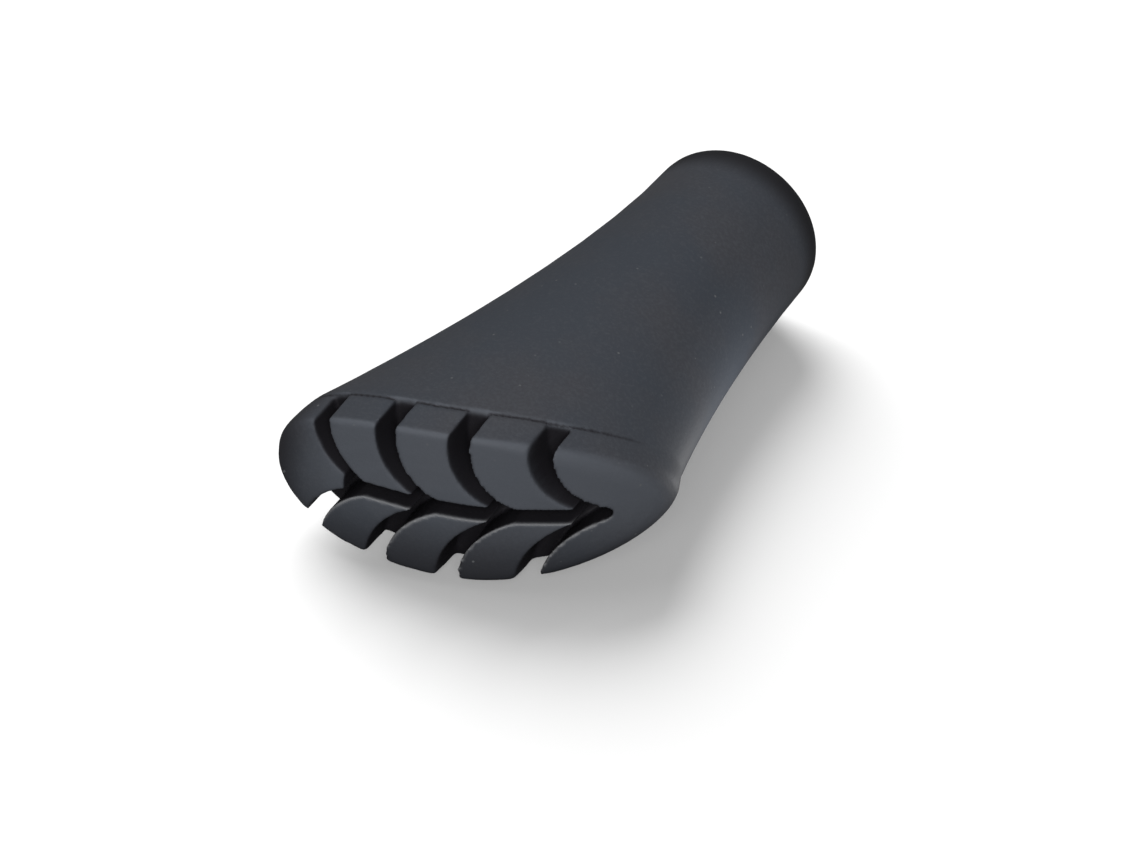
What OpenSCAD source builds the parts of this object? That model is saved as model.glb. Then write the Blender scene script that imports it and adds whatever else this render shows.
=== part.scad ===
// Rubber tip for a nordic walking pole: one moulded pad with a round collar, a flared body and a
// rocker sole cut into chevron blocks. It lies on its broad side with the pole's line along +Y,
// the heel of the sole towards +X and the toe towards -X. All sizes are in millimetres.

/* [Collar] */
// Outside diameter of the round collar
collar_diameter = 20; // [19:0.5:24]
// Distance from the middle of the sole to the collar's mouth, along the pole
pad_height = 61.5; // [57:0.5:68]
// Rounding of the collar's outer edge at the mouth
mouth_rounding = 2.3; // [0.8:0.1:2.4]
// How far the pole's line passes from the middle of the sole, towards the heel
collar_offset = 1.4; // [-2:0.2:2]
// Length over which the flare runs out into the straight collar
flare_run = 22; // [14:1:26]

/* [Pole socket] */
// Diameter of the blind socket that grips the pole's end
socket_diameter = 11; // [9:0.5:12]
// Length of the socket's straight wall
socket_depth = 34; // [26:1:36]
// Lead-in chamfer at the socket's mouth
socket_lead = 0.8; // [0.3:0.1:1]
// Diameter of the flat end of the socket's tapered floor
socket_tip = 5; // [3:0.5:7]

/* [Foot] */
// Length of the sole, measured along its own lean
foot_length = 41.5; // [38:0.5:46]
// Width of the sole
foot_width = 18.4; // [17:0.2:22]
// Lean of the sole against the pole's line, in degrees
sole_lean = 21.5; // [14:0.5:28]
// Radius of the sole's rocker from toe to heel
rocker_radius = 37; // [34:1:70]
// Radius of the sole's crown from side to side
crown_radius = 160; // [60:5:200]
// Fullness of the toe's outline, 2 for an ellipse
toe_fullness = 2.4; // [2:0.1:3]
// Fullness of the heel's outline, 2 for an ellipse
heel_fullness = 1.8; // [1.7:0.1:2.6]
// Rounding of the sole's outer edge at the toe
toe_rounding = 0.5; // [0.3:0.1:1.4]
// Rounding of the sole's outer edge at the heel
heel_rounding = 2.2; // [0.6:0.1:2.4]
// Inward slope of the foot's wall at the toe
toe_slope = 0.06; // [0:0.02:0.3]
// Inward slope of the foot's wall at the heel
heel_slope = 0.34; // [0:0.02:0.4]

/* [Tread] */
// Depth of the tread, measured along the pole
tread_depth = 4.6; // [3:0.2:6]
// Width of the curved side grooves
groove_width = 2.1; // [1.4:0.1:2.6]
// Width of the groove along the middle of the sole
spine_width = 1.7; // [1.2:0.1:2.2]
// Number of chevrons
chevron_count = 4; // [3:1:5]
// Width of the fine line between the tread and the body
seam_width = 0.5; // [0.3:0.05:0.8]
// Depth of the fine line between the tread and the body
seam_depth = 0.6; // [0.2:0.05:0.8]

/* [Hidden] */
around = 80;
body_rings = 12;
edge_rings = 4;
mouth_rings = 5;
rubber_black = [0.20, 0.21, 0.23];
collar_radius = collar_diameter / 2;
half_length = foot_length / 2;
half_width = foot_width / 2;
side_slope = -0.08;
seam_end = 0.42 * foot_length;
seam_fade = 0.3 * foot_length;

// The sole's span seen along the pole sets the chevrons' spacing
toe_x = -half_length * cos(sole_lean) - rocker_drop(half_length) * sin(sole_lean);
heel_x = half_length * cos(sole_lean) - rocker_drop(half_length) * sin(sole_lean);
chevron_pitch = (heel_x - toe_x) / (chevron_count + 1.2);
first_chevron = toe_x + 0.68 * chevron_pitch;
last_chevron = first_chevron + (chevron_count - 1) * chevron_pitch;
arm_steps = 14;
arm_radius = 0.92 * half_width;
arm_sweep = asin(1 - 0.47 * spine_width / arm_radius);
arm_reach = arm_radius * (1 - cos(arm_sweep));
spine_start = first_chevron - groove_width / 2 + arm_reach - 0.2 * spine_width;
spine_end = last_chevron + groove_width / 2 + arm_reach - 0.12 * spine_width;
groove_floor = tread_depth + crown_drop(half_width);

// Outline of the sole: an ellipse with fuller ends
function turn(i) = 360 * i / around;
function fullness(i) = cos(turn(i)) > 0 ? heel_fullness : toe_fullness;
function fill(x, power) = sign(x) * pow(abs(x), 2 / power);
function along(i) = fill(cos(turn(i)), fullness(i));
function across(i) = fill(sin(turn(i)), fullness(i));

// A point of the sole from its place along and across
function rocker_drop(u) = rocker_radius - sqrt(pow(rocker_radius, 2) - pow(u, 2));
function crown_drop(v) = crown_radius - sqrt(pow(crown_radius, 2) - pow(v, 2));
function sole_point(u, v) =
    let (h = rocker_drop(u) + crown_drop(v))
    [u * cos(sole_lean) - h * sin(sole_lean), u * sin(sole_lean) + h * cos(sole_lean), v];

// Way of the foot's wall on its way up to the body
function wall_slope(i) = cos(turn(i)) * (cos(turn(i)) > 0 ? heel_slope : toe_slope);
function wall_way(i) = [
    -wall_slope(i) * cos(sole_lean),
    1 - wall_slope(i) * sin(sole_lean),
    -side_slope * sin(turn(i))
];
function inward(i) = [-cos(turn(i)) * cos(sole_lean), -cos(turn(i)) * sin(sole_lean), -sin(turn(i))];

// Rounding of the sole's edge, which grows from the middle of the sole to the heel
function rounding_part(i) = min(1, max(0, along(i) + 0.1));
function rounding(i) =
    let (t = rounding_part(i))
    toe_rounding + (heel_rounding - toe_rounding) * t * t * (3 - 2 * t);

// Rings of the sole, from its middle out to the rounded edge
function sole_ring(part) = [
    for (i = [0:around - 1])
        sole_point(part * along(i) * (half_length - rounding(i)),
                   part * across(i) * (half_width - rounding(i)))
];
function edge_ring(angle) = [
    for (i = [0:around - 1])
        let (out = (sin(angle) - 1) * rounding(i))
        sole_point(along(i) * (half_length + out), across(i) * (half_width + out))
            + (1 - cos(angle)) * rounding(i) * wall_way(i)
];

// Rings of the foot's wall, with the fine line pressed in between the tread and the body
function seam_part(i) = min(1, max(0, (seam_end - along(i) * half_length) / seam_fade));
function wall_ring(height, inset) = [
    for (i = [0:around - 1])
        sole_point(along(i) * half_length, across(i) * half_width)
            + height * wall_way(i) + inset * seam_part(i) * inward(i)
];

// Rings of the body, blended from the foot's wall into the round collar
collar_base = pad_height - mouth_rounding;
function round_ring(radius, y) = [
    for (i = [0:around - 1])
        [collar_offset + radius * cos(turn(i)), y, radius * sin(turn(i))]
];
foot_ring = wall_ring(tread_depth + seam_width / 2, 0);
run_ring = round_ring(collar_radius, collar_base - flare_run);
collar_ring = round_ring(collar_radius, collar_base);
function body_ring(t) =
    let (a = pow(1 - t, 3) + 2.85 * t * pow(1 - t, 2), b = 0.15 * t * pow(1 - t, 2) + 3 * t * t * (1 - t))
    a * foot_ring + b * run_ring + pow(t, 3) * collar_ring;
function mouth_ring(angle) =
    round_ring(collar_radius - mouth_rounding * (1 - cos(angle)), collar_base + mouth_rounding * sin(angle));

rings = concat(
    [for (part = [0.3, 0.55, 0.75, 0.9, 1]) sole_ring(part)],
    [for (k = [1:edge_rings]) edge_ring(90 * k / edge_rings)],
    [wall_ring(tread_depth - seam_width / 2, 0)],
    [wall_ring(tread_depth, seam_depth)],
    [for (k = [0:body_rings]) body_ring(k / body_rings)],
    [for (k = [1:mouth_rings]) mouth_ring(90 * k / mouth_rings)]
);
last = len(rings) - 1;
skin_points = concat(
    [for (ring = rings) each ring],
    [[0, 0, 0], [collar_offset, pad_height, 0]]
);
sole_middle = len(rings) * around;
function at(ring, i) = ring * around + i % around;
skin_faces = concat(
    [for (i = [0:around - 1]) [sole_middle, at(0, i), at(0, i + 1)]],
    [for (r = [0:last - 1], i = [0:around - 1]) [at(r, i), at(r + 1, i), at(r + 1, i + 1)]],
    [for (r = [0:last - 1], i = [0:around - 1]) [at(r, i), at(r + 1, i + 1), at(r, i + 1)]],
    [for (i = [0:around - 1]) [sole_middle + 1, at(last, i + 1), at(last, i)]]
);

// The part stands with the middle of its underside at the origin
low = [for (k = [0:2]) min([for (p = skin_points) p[k]])];
high = [for (k = [0:2]) max([for (p = skin_points) p[k]])];
seat = [-(low[0] + high[0]) / 2, -(low[1] + high[1]) / 2, -low[2]];

rubber_tip();

// The solid pad before the tread and the socket are cut
module outer_skin() {
    polyhedron(points = skin_points, faces = skin_faces, convexity = 6);
}

// One crescent arm from the side of the sole to its middle, between two equal arcs
function arm_arc(x) = [
    for (k = [0:arm_steps])
        let (angle = 180 + arm_sweep * k / arm_steps)
        [x + arm_radius * (1 + cos(angle)), arm_radius * (1 + sin(angle))]
];
module chevron_arm(x) {
    far_side = arm_arc(x + groove_width / 2);
    polygon(concat(
        [[x + groove_width / 2, foot_width], [x - groove_width / 2, foot_width]],
        arm_arc(x - groove_width / 2),
        [for (k = [0:arm_steps]) far_side[arm_steps - k]]
    ));
}

// Both halves of every chevron and the groove that joins them
module chevron_pattern() {
    for (k = [0:chevron_count - 1]) {
        chevron_arm(first_chevron + k * chevron_pitch);
        mirror([0, 1]) chevron_arm(first_chevron + k * chevron_pitch);
    }
    translate([spine_start, -spine_width / 2])
        square([spine_end - spine_start, spine_width]);
    translate([spine_end, 0])
        circle(d = spine_width, $fn = 32);
}

// The grooves run in along the pole, down to a floor that follows the rocker
module tread_grooves() {
    difference() {
        translate([0, foot_length / 2, 0])
            rotate([90, 0, 0])
                linear_extrude(height = foot_length)
                    chevron_pattern();
        translate([-rocker_radius * sin(sole_lean), rocker_radius * cos(sole_lean) + groove_floor, 0])
            cylinder(r = rocker_radius, h = 3 * foot_width, center = true, $fn = 180);
    }
}

// The blind socket with its lead-in and tapered floor
module pole_socket() {
    radius = socket_diameter / 2;
    taper = radius - socket_tip / 2;
    translate([collar_offset, pad_height, 0])
        rotate([-90, 0, 0])
            rotate_extrude($fn = 96)
                polygon([
                    [0, 1],
                    [radius + socket_lead, 1],
                    [radius + socket_lead, 0],
                    [radius, -socket_lead],
                    [radius, -socket_depth],
                    [radius - taper, -socket_depth - taper],
                    [0, -socket_depth - taper]
                ]);
}

module rubber_tip() {
    color(rubber_black)
        translate(seat)
            difference() {
                outer_skin();
                tread_grooves();
                pole_socket();
            }
}
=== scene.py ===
import math

import bmesh
import bpy
from mathutils import Matrix, Vector
from mathutils.bvhtree import BVHTree


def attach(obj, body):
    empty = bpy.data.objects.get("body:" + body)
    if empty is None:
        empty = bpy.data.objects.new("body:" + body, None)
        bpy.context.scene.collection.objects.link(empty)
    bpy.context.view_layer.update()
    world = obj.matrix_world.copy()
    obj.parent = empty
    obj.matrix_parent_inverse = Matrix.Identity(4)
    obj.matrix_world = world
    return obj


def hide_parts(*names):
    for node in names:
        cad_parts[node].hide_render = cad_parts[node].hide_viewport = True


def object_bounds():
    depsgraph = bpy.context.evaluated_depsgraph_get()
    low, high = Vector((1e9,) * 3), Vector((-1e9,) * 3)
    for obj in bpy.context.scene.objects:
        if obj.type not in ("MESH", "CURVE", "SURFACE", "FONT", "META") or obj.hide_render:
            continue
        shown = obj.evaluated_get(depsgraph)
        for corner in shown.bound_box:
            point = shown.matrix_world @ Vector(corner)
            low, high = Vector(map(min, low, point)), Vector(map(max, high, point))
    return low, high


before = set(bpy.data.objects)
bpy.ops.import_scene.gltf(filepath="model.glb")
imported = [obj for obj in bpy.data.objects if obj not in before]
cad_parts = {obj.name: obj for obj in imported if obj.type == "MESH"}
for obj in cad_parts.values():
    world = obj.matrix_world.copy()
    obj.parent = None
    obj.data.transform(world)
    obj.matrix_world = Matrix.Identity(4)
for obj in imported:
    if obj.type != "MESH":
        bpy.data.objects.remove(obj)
cadLow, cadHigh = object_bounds()
scene = bpy.context.scene
scene.view_settings.view_transform = "Standard"
print("frame loaded:", sorted(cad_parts))


# small helpers for node trees
def addNode(tree, kind, place, **values):
    node = tree.nodes.new(kind)
    node.location = place
    for name, value in values.items():
        setattr(node, name, value)
    return node


def feed(tree, socket, source):  # a socket takes a link or a plain value
    if isinstance(source, bpy.types.NodeSocket):
        tree.links.new(source, socket)
    else:
        socket.default_value = source


def addMath(tree, operation, place, *sources):
    node = addNode(tree, "ShaderNodeMath", place, operation=operation)
    for socket, source in zip(node.inputs, sources):
        feed(tree, socket, source)
    return node.outputs["Value"]


def addRange(tree, value, place, ends, to=(0.0, 1.0), blend="SMOOTHSTEP"):
    node = addNode(tree, "ShaderNodeMapRange", place, interpolation_type=blend)
    labels = ("Value", "From Min", "From Max", "To Min", "To Max")
    for label, source in zip(labels, (value, *ends, *to)):
        feed(tree, node.inputs[label], source)
    return node.outputs["Result"]


def addMix(tree, mask, place, below, above):
    node = addNode(tree, "ShaderNodeMix", place, data_type="RGBA")
    for label, source in (("Factor", mask), ("A", below), ("B", above)):
        feed(tree, node.inputs[label], source)
    return node.outputs["Result"]


def newGroup(name, values, outputs):  # takes a vector and some values, puts out values
    group = bpy.data.node_groups.new(name, "ShaderNodeTree")
    sockets = group.interface
    sockets.new_socket(name="Vector", in_out="INPUT", socket_type="NodeSocketVector")
    for label, value in values.items():
        socket = sockets.new_socket(name=label, in_out="INPUT", socket_type="NodeSocketFloat")
        socket.default_value = value
    for label in outputs:
        sockets.new_socket(name=label, in_out="OUTPUT", socket_type="NodeSocketFloat")
    entry = addNode(group, "NodeGroupInput", (-900, 0))
    leave = addNode(group, "NodeGroupOutput", (900, 0))
    return group, entry.outputs, leave.inputs


grainLook = {
    "Grain": {"scale": 2600.0, "detail": 3.0, "roughness": 0.6},  # the moulded skin
    "Swell": {"scale": 70.0, "detail": 4.0, "roughness": 0.55},   # slow changes of tone
    "swellHeight": 0.35,  # how much of the swell joins the height
}


def makeGrainGroup():
    scales = {label: grainLook[label]["scale"] for label in ("Grain", "Swell")}
    group, entry, leave = newGroup("rubberGrain", scales, ("Height", "Tone"))
    link = group.links.new
    noises = {}
    for label, row in (("Grain", 200), ("Swell", -150)):
        noise = addNode(group, "ShaderNodeTexNoise", (-600, row))
        noise.inputs["Detail"].default_value = grainLook[label]["detail"]
        noise.inputs["Roughness"].default_value = grainLook[label]["roughness"]
        link(entry["Vector"], noise.inputs["Vector"])
        link(entry[label], noise.inputs["Scale"])
        noises[label] = noise.outputs["Fac"]
    share = grainLook["swellHeight"]
    height = addMath(group, "MULTIPLY_ADD", (-200, 100), noises["Swell"], share, noises["Grain"])
    link(height, leave["Height"])
    link(noises["Swell"], leave["Tone"])
    return group


dustLook = {
    "Scale": 900.0,  # cells to a metre
    "Share": 0.16,   # of the cells hold a speck
    "Size": 0.16,    # a speck's radius in its cell
    "core": 0.5,     # share of the radius that doesn't fade
}


def makeDustGroup():  # a few pale specks, one to a cell at most
    values = {label: dustLook[label] for label in ("Scale", "Share", "Size")}
    group, entry, leave = newGroup("dustSpecks", values, ("Mask",))
    link = group.links.new
    cells = addNode(group, "ShaderNodeTexVoronoi", (-600, 100), feature="F1")
    link(entry["Vector"], cells.inputs["Vector"])
    link(entry["Scale"], cells.inputs["Scale"])
    split = addNode(group, "ShaderNodeSeparateColor", (-350, -80))
    link(cells.outputs["Color"], split.inputs["Color"])
    chosen = addMath(group, "LESS_THAN", (-100, -80), split.outputs["Red"], entry["Share"])
    core = addMath(group, "MULTIPLY", (-350, 260), entry["Size"], dustLook["core"])
    speck = addRange(group, cells.outputs["Distance"], (-100, 180), (core, entry["Size"]), (1.0, 0.0))
    shown = addMath(group, "MULTIPLY", (250, 60), speck, chosen)
    faint = addMath(group, "MULTIPLY", (500, 0), shown, split.outputs["Green"])  # some fainter than others
    link(faint, leave["Mask"])
    return group


rubberLook = {
    "colour": (0.049, 0.056, 0.069, 1.0),
    "warmSwell": (0.054, 0.056, 0.065, 1.0),
    "paleGrain": (0.078, 0.084, 0.096, 1.0),
    "litSole": (0.095, 0.104, 0.122, 1.0),       # painted light on the sole faces
    # painted shade, darker towards the bottom
    "underside": (0.025, 0.026, 0.031, 1.0),
    "mouth": (0.016, 0.016, 0.019, 1.0),      # painted shade on the collar's end and the socket
    # painted shade on the toe block
    "toe": (0.020, 0.020, 0.024, 1.0),
    "dust": (0.125, 0.130, 0.136, 1.0),
    "paintedHighlight": (0.340, 0.345, 0.355, 1.0),     # painted highlight on edges of the tread's blocks
    "recessShade": (0.0140, 0.0130, 0.0160, 1.0),  # painted shade in grooves and inner corners
    "swellRange": (0.38, 0.62),               # swell over which the warm tone comes in
    "grainRange": (0.62, 1.0),                # height over which the pale grain comes in
    "grainPale": (0.0, 0.6),                  # and how far
    "underShadeRange": (0.0, 0.0100),              # the painted shade on the underside fades out over these heights, metres
    "mouthRange": (0.0258, 0.0298),           # the painted shade on the collar comes in over this way along the pole
    "toeShadeRange": (-0.0142, -0.0188),           # and the painted shade on the toe over this way along the sole
    "roughness": (0.54, 0.66),                # from the grain's lows to its tops
    "specular": 0.18,
    "bump": 0.14,
    "bumpDepth": 0.0002,                      # metres
}


def makeRubber(grainGroup, dustGroup):
    mat = bpy.data.materials.new("black_rubber")
    mat.use_nodes = True
    tree = mat.node_tree
    link = tree.links.new
    shader = tree.nodes["Principled BSDF"]
    shader.inputs["Specular IOR Level"].default_value = rubberLook["specular"]
    coord = addNode(tree, "ShaderNodeTexCoord", (-2900, 0))
    grain = addNode(tree, "ShaderNodeGroup", (-2600, 100), node_tree=grainGroup)
    dust = addNode(tree, "ShaderNodeGroup", (-2600, -200), node_tree=dustGroup)
    split = addNode(tree, "ShaderNodeSeparateXYZ", (-2600, 350))
    for node in (grain, dust, split):
        link(coord.outputs["Object"], node.inputs["Vector"])
    highlight, shade, litSole = (
        addNode(tree, "ShaderNodeAttribute", (-2600, row), attribute_name=name).outputs["Fac"]
        for name, row in (("edgeHighlight", -450), ("recessShade", -650), ("litSoleMark", -850))
    )

    height = grain.outputs["Height"]
    swell = addRange(tree, grain.outputs["Tone"], (-2300, 150), rubberLook["swellRange"], blend="LINEAR")
    pale = addRange(tree, height, (-2300, -100), rubberLook["grainRange"], rubberLook["grainPale"], "LINEAR")
    under = addRange(tree, split.outputs["Z"], (-2300, 450), rubberLook["underShadeRange"], (1.0, 0.0))
    mouth = addRange(tree, split.outputs["Y"], (-2300, 700), rubberLook["mouthRange"])
    toe = addRange(tree, split.outputs["X"], (-2300, 950), rubberLook["toeShadeRange"])
    masks = {
        "warmSwell": swell, "paleGrain": pale, "litSole": litSole, "underside": under, "mouth": mouth,
        "toe": toe, "dust": dust.outputs["Mask"], "paintedHighlight": highlight, "recessShade": shade,
    }
    tone = rubberLook["colour"]
    for k, (name, mask) in enumerate(masks.items()):  # each tone lies over the ones before it
        tone = addMix(tree, mask, (-2000 + 200 * k, 250), tone, rubberLook[name])
    link(tone, shader.inputs["Base Color"])

    rough = addRange(tree, height, (-300, -100), (0.0, 1.0), rubberLook["roughness"], "LINEAR")
    link(rough, shader.inputs["Roughness"])
    bump = addNode(tree, "ShaderNodeBump", (-300, -350))
    bump.inputs["Strength"].default_value = rubberLook["bump"]
    bump.inputs["Distance"].default_value = rubberLook["bumpDepth"]
    link(height, bump.inputs["Height"])
    link(bump.outputs["Normal"], shader.inputs["Normal"])
    return mat


padShape = {
    "weld": 2e-6,                     # the copied solid's loose triangles are joined within this, metres
    "voxel": 0.00022,                 # skin cells
    "soften": 4,                      # smoothing passes over the moulded edges
    "softenBy": 0.5,
    "keep": 0.48,                     # share of the skin's faces that is kept
    "toeEnd": -0.0146,                # the toe block lies before this place along the sole
    "toeSoften": 40,                  # more passes, which round the toe block off
    "lowRim": 0.0022,                 # the tread's lower rim lies under this height
    "treadEnd": -0.0130,              # and before this place along the pole
    "rimSoften": 14,
    "fold": 1.4,                      # faces that meet at more than this angle are folded, radians
    "foldSoften": 10,
    "highlight": (5e-6, 2.5e-5),            # an edge taken off by so much gets a painted highlight
    "highlightFacing": (0.0, 0.5),          # where it looks up
    "highlightBeside": (0.04, 0.25),        # and lies beside a groove
    "highlightTop": (0.0085, 0.0105),       # fading out over these heights
    "fill": (2e-5, 6e-5),             # a corner filled by so much gets painted shade
    "hullEnd": -0.006,                # the tread's hull wraps the skin before this place along the pole
    "markEnd": -0.009,                # and grooves are marked before this one
    "turned": (0.3, 0.7),             # skin that faces the hull's way by less is groove
    "under": (2e-5, 7e-5),            # where it also lies this far under the hull
    "inset": (0.00025, 0.0006),       # so is skin that lies this far inside the hull
    "grooveEnd": 0.0053,              # and no deeper than this along the pole
    "litSoleMost": 0.75,                 # painted light makes the sole paler
    "litSoleAlong": (-0.0165, -0.0115),  # behind the toe
    "litSoleUp": (0.0025, 0.0115),       # from the lower side to the upper one
    "litSoleFacing": (0.12, 0.45),       # where it faces down the pole
    "evenBy": 0.5,                    # a mark moves this far to its neighbours' mean in a pass
    "edgePasses": 1,
    "groovePasses": 3,
    "besidePasses": 4,
}


def ramp(value, ends):  # 0 before the first end, 1 past the second
    return min(1.0, max(0.0, (value - ends[0]) / (ends[1] - ends[0])))


def spread(bm, values, passes):  # evens a mark out over neighbouring points
    share = padShape["evenBy"]
    for _ in range(passes):
        means = [
            sum(values[edge.other_vert(vert).index] for edge in vert.link_edges) / len(vert.link_edges)
            for vert in bm.verts
        ]
        values = [(1.0 - share) * own + share * mean for own, mean in zip(values, means)]
    return values


def soften(bm, verts, passes):
    for _ in range(passes):
        bmesh.ops.smooth_vert(bm, verts=verts, factor=padShape["softenBy"],
                              use_axis_x=True, use_axis_y=True, use_axis_z=True)


def findFolds(bm):  # points of the few faces that the smoothing folded over, and their neighbours
    bm.normal_update()
    sharp = [edge for edge in bm.edges if edge.calc_face_angle(0.0) > padShape["fold"]]
    folded = {vert for edge in sharp for vert in edge.verts}
    beside = {edge.other_vert(vert) for vert in folded for edge in vert.link_edges}
    return [vert for vert in bm.verts if vert in folded or vert in beside]


def markEdges(bm, solid):  # where softening took an edge off the sharp solid, marked for a painted highlight, or filled a corner, marked for painted shade
    paintedHighlight, filled = [], []
    for vert in bm.verts:
        spot, facing = solid.find_nearest(vert.co)[:2]
        over = (vert.co - spot).dot(facing)
        paintedHighlight.append(ramp(-over, padShape["highlight"]) * ramp(vert.normal.z, padShape["highlightFacing"]))
        filled.append(ramp(over, padShape["fill"]))
    return spread(bm, paintedHighlight, padShape["edgePasses"]), spread(bm, filled, padShape["edgePasses"])


def markGrooves(bm):  # painted shade for groove walls and floors, which lie inside the tread's hull or turn away from it
    shell = bmesh.new()
    for vert in bm.verts:
        if vert.co.y < padShape["hullEnd"]:
            shell.verts.new(vert.co)
    bmesh.ops.convex_hull(shell, input=shell.verts)
    hull = BVHTree.FromBMesh(shell)
    shell.free()
    downPole = Vector((0.0, -1.0, 0.0))
    grooveShades = []
    for vert in bm.verts:
        shade = 0.0
        if vert.co.y < padShape["markEnd"]:
            facing, _, inset = hull.find_nearest(vert.co)[1:]
            turned = 1.0 - ramp(vert.normal.dot(facing), padShape["turned"])
            shade = turned * ramp(inset, padShape["under"])
            if inset > padShape["inset"][0]:
                depth = hull.ray_cast(vert.co, downPole)[3] or 0.0
                if depth < padShape["grooveEnd"]:
                    shade = max(shade, ramp(inset, padShape["inset"]))
        grooveShades.append(shade)
    return spread(bm, grooveShades, padShape["groovePasses"])


def mouldSkin(cadNode):  # a softened skin over the sharp solid, and the solid to measure it by
    raw = cadNode.data.copy()
    raw.materials.clear()
    bm = bmesh.new()
    bm.from_mesh(raw)
    bmesh.ops.remove_doubles(bm, verts=bm.verts, dist=padShape["weld"])
    bm.to_mesh(raw)
    solid = BVHTree.FromBMesh(bm)
    bm.free()
    pad = bpy.data.objects.new("rubber_pad", raw)
    scene.collection.objects.link(pad)
    skin = pad.modifiers.new("mouldedSkin", "REMESH")
    skin.mode = "VOXEL"
    skin.voxel_size = padShape["voxel"]
    soft = pad.modifiers.new("softEdges", "SMOOTH")
    soft.factor = padShape["softenBy"]
    soft.iterations = padShape["soften"]
    fewer = pad.modifiers.new("fewerFaces", "DECIMATE")
    fewer.ratio = padShape["keep"]
    depsgraph = bpy.context.evaluated_depsgraph_get()
    mesh = bpy.data.meshes.new_from_object(pad.evaluated_get(depsgraph))
    mesh.name = "rubberPad"
    pad.modifiers.clear()
    pad.data = mesh
    bpy.data.meshes.remove(raw)
    return pad, solid


def markPad(bm, solid):  # the marks for the painted highlights, the painted shade and the painted light on the sole
    paintedHighlight, filled = markEdges(bm, solid)
    grooveShades = markGrooves(bm)
    beside = spread(bm, grooveShades, padShape["besidePasses"])
    highlightLayer = bm.verts.layers.float.new("edgeHighlight")
    recessShadeLayer = bm.verts.layers.float.new("recessShade")
    litSoleLayer = bm.verts.layers.float.new("litSoleMark")
    for vert, highlight, near, fill, shade in zip(bm.verts, paintedHighlight, beside, filled, grooveShades):
        low = 1.0 - ramp(vert.co.z, padShape["highlightTop"])
        # painted highlight on low edges that face up beside a groove
        vert[highlightLayer] = highlight * ramp(near, padShape["highlightBeside"]) * low
        # painted shade in grooves and filled corners
        vert[recessShadeLayer] = max(fill, shade)
        # painted light on the sole faces behind the toe, paler towards the upper side
        along = ramp(vert.co.x, padShape["litSoleAlong"])
        up = ramp(vert.co.z, padShape["litSoleUp"])
        vert[litSoleLayer] = padShape["litSoleMost"] * along * up * ramp(-vert.normal.y, padShape["litSoleFacing"])


def buildPad(cadNode):
    pad, solid = mouldSkin(cadNode)
    bm = bmesh.new()
    bm.from_mesh(pad.data)
    for face in bm.faces:
        face.smooth = True
    toe = [vert for vert in bm.verts if vert.co.x < padShape["toeEnd"]]
    rim = [vert for vert in bm.verts if vert.co.z < padShape["lowRim"] and vert.co.y < padShape["treadEnd"]]
    soften(bm, toe, padShape["toeSoften"])
    soften(bm, rim, padShape["rimSoften"])
    soften(bm, findFolds(bm), padShape["foldSoften"])
    for vert in bm.verts:  # the soft skin stays inside the solid's box
        vert.co = [min(max(c, a), b) for c, a, b in zip(vert.co, cadLow, cadHigh)]
    bm.normal_update()
    print("pad skin:", len(bm.verts), "points", len(bm.faces), "faces")
    markPad(bm, solid)
    bm.to_mesh(pad.data)
    bm.free()
    return pad


rubber = makeRubber(makeGrainGroup(), makeDustGroup())
pad = buildPad(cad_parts["rubber_tip"])
pad.data.materials.append(rubber)
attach(pad, "root")
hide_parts("rubber_tip")
print("pad built")


floorLook = {
    "size": 3.0,                        # half its side, metres
    "colour": (0.32, 0.32, 0.32, 1.0),  # to the camera
    "bounce": (0.08, 0.08, 0.08, 1.0),  # to the light that it throws back
    "lift": 0.24,                       # a glow that only the camera sees
    "roughness": 0.9,
}


def buildFloor():
    mesh = bpy.data.meshes.new("paleFloor")
    bm = bmesh.new()
    bmesh.ops.create_grid(bm, x_segments=1, y_segments=1, size=floorLook["size"])
    bm.to_mesh(mesh)
    bm.free()
    floor = bpy.data.objects.new("pale_floor", mesh)
    scene.collection.objects.link(floor)
    mat = bpy.data.materials.new("pale_floor")
    mat.use_nodes = True
    tree = mat.node_tree
    link = tree.links.new
    shader = tree.nodes["Principled BSDF"]
    shader.inputs["Roughness"].default_value = floorLook["roughness"]
    shader.inputs["Specular IOR Level"].default_value = 0.0
    shader.inputs["Emission Color"].default_value = (1.0, 1.0, 1.0, 1.0)
    seen = addNode(tree, "ShaderNodeLightPath", (-600, -200)).outputs["Is Camera Ray"]
    tone = addMix(tree, seen, (-300, 100), floorLook["bounce"], floorLook["colour"])
    glow = addMath(tree, "MULTIPLY", (-300, -200), seen, floorLook["lift"])
    link(tone, shader.inputs["Base Color"])
    link(glow, shader.inputs["Emission Strength"])
    mesh.materials.append(mat)
    return floor


floor = buildFloor()
print("floor built")


lightPlan = {
    "ambient": 0.20,  # the room's strength, which is 1 to the camera
    "front": {"place": (0.22, -0.58, 0.39), "aim": (0.0, 0.0, 0.01), "size": 0.45, "watts": 3.55},
    "top": {"place": (-0.28, 0.00, 0.69), "aim": (0.0, 0.0, 0.01), "size": 0.50, "watts": 2.2},
    "side": {"place": (0.032, 0.006, 0.003), "aim": (0.014, 0.002, 0.009), "size": 0.006, "watts": 0.0046},
    "floor": {"place": (-0.52, 0.34, 0.60), "aim": (0.0, 0.0, 0.0), "size": 0.85, "watts": 26.0},
    "lightsOnly": {"side": pad, "floor": floor},  # these two lamps light one object each
}


def buildRoom():  # white to the camera, dimmer to the pad
    world = bpy.data.worlds.new("paleRoom")
    scene.world = world
    world.use_nodes = True
    tree = world.node_tree
    sky = tree.nodes["Background"]
    sky.inputs["Color"].default_value = (1.0, 1.0, 1.0, 1.0)
    seen = addNode(tree, "ShaderNodeLightPath", (-600, 0)).outputs["Is Camera Ray"]
    level = addRange(tree, seen, (-300, 0), (0.0, 1.0), (lightPlan["ambient"], 1.0), "LINEAR")
    tree.links.new(level, sky.inputs["Strength"])


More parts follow.
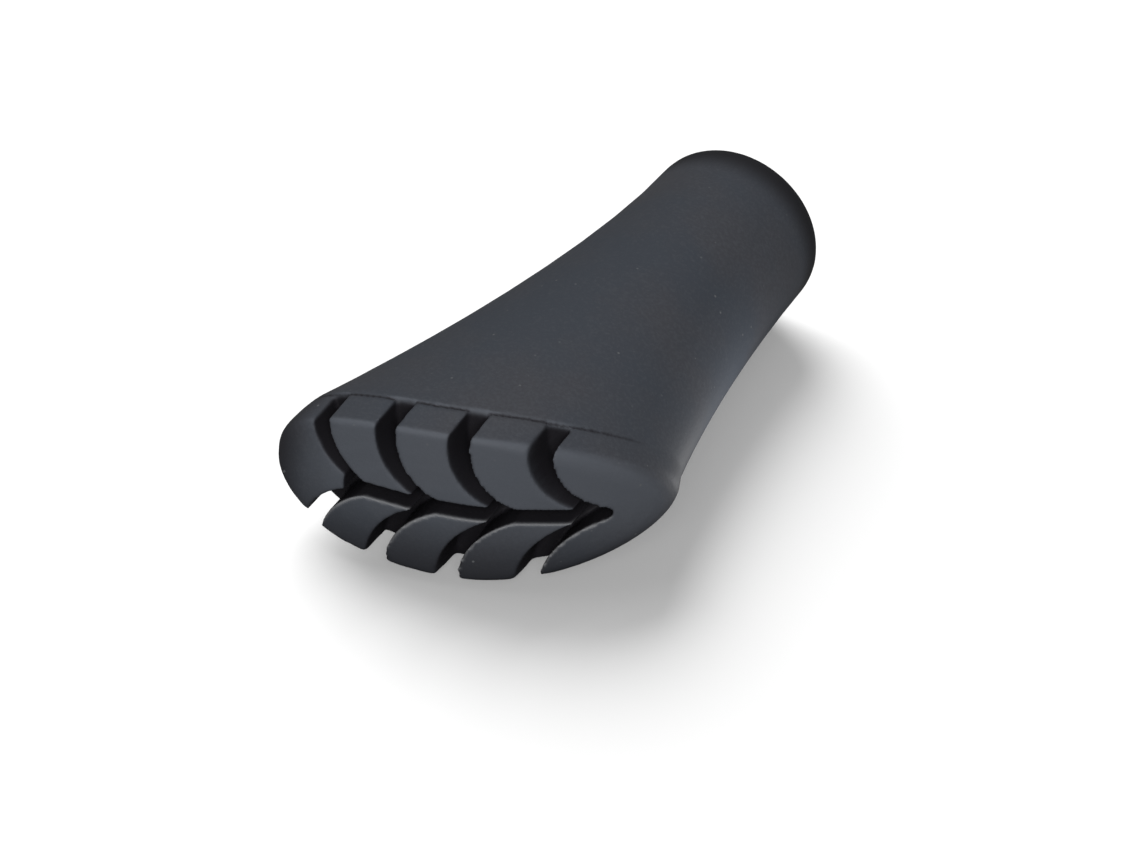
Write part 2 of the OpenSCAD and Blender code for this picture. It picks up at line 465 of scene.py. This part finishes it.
def buildLamp(name):
    plan = lightPlan[name]
    lamp = bpy.data.lights.new(name + "Light", "AREA")
    lamp.shape = "DISK"
    lamp.size = plan["size"]
    lamp.energy = plan["watts"]
    holder = bpy.data.objects.new(name + "Light", lamp)
    holder.location = plan["place"]
    aim = Vector(plan["aim"]) - Vector(plan["place"])
    holder.rotation_euler = aim.to_track_quat("-Z", "Y").to_euler()
    holder.visible_camera = False
    scene.collection.objects.link(holder)
    if name in lightPlan["lightsOnly"]:
        only = bpy.data.collections.new(name + "Only")
        only.objects.link(lightPlan["lightsOnly"][name])
        holder.light_linking.receiver_collection = only


buildRoom()
for name in ("front", "top", "side", "floor"):
    buildLamp(name)
print("lights set")


viewPlan = {
    "target": (0.003318, 0.000942, 0.010),  # the point that the view turns about, metres
    "azimuth": 23.10,                       # degrees towards the heel
    "elevation": 37.79,
    "roll": 6.35,
    "distance": 0.5059,
    "slide": (0.004150, -0.006780),         # moves the pad off the middle of the frame
    "lens": 151.30,                         # millimetres
    "sensor": 36.0,
    "clip": (0.01, 20.0),
}


def buildCamera():
    azimuth, elevation, roll = (math.radians(viewPlan[key]) for key in ("azimuth", "elevation", "roll"))
    ahead = Vector((-math.sin(azimuth), math.cos(azimuth), 0.0))
    level = Vector((math.cos(azimuth), math.sin(azimuth), 0.0))
    look = ahead * math.cos(elevation) - Vector((0.0, 0.0, math.sin(elevation)))
    rise = level.cross(look)
    right = level * math.cos(roll) + rise * math.sin(roll)
    up = rise * math.cos(roll) - level * math.sin(roll)
    slideX, slideY = viewPlan["slide"]
    place = Vector(viewPlan["target"]) - look * viewPlan["distance"] - right * slideX + up * slideY
    data = bpy.data.cameras.new("photoView")
    data.lens = viewPlan["lens"]
    data.sensor_width = viewPlan["sensor"]
    data.clip_start, data.clip_end = viewPlan["clip"]
    camera = bpy.data.objects.new("photoView", data)
    turn = Matrix((right, up, -look)).transposed().to_4x4()
    camera.matrix_world = Matrix.Translation(place) @ turn
    scene.collection.objects.link(camera)
    scene.camera = camera


buildCamera()
print("camera set")
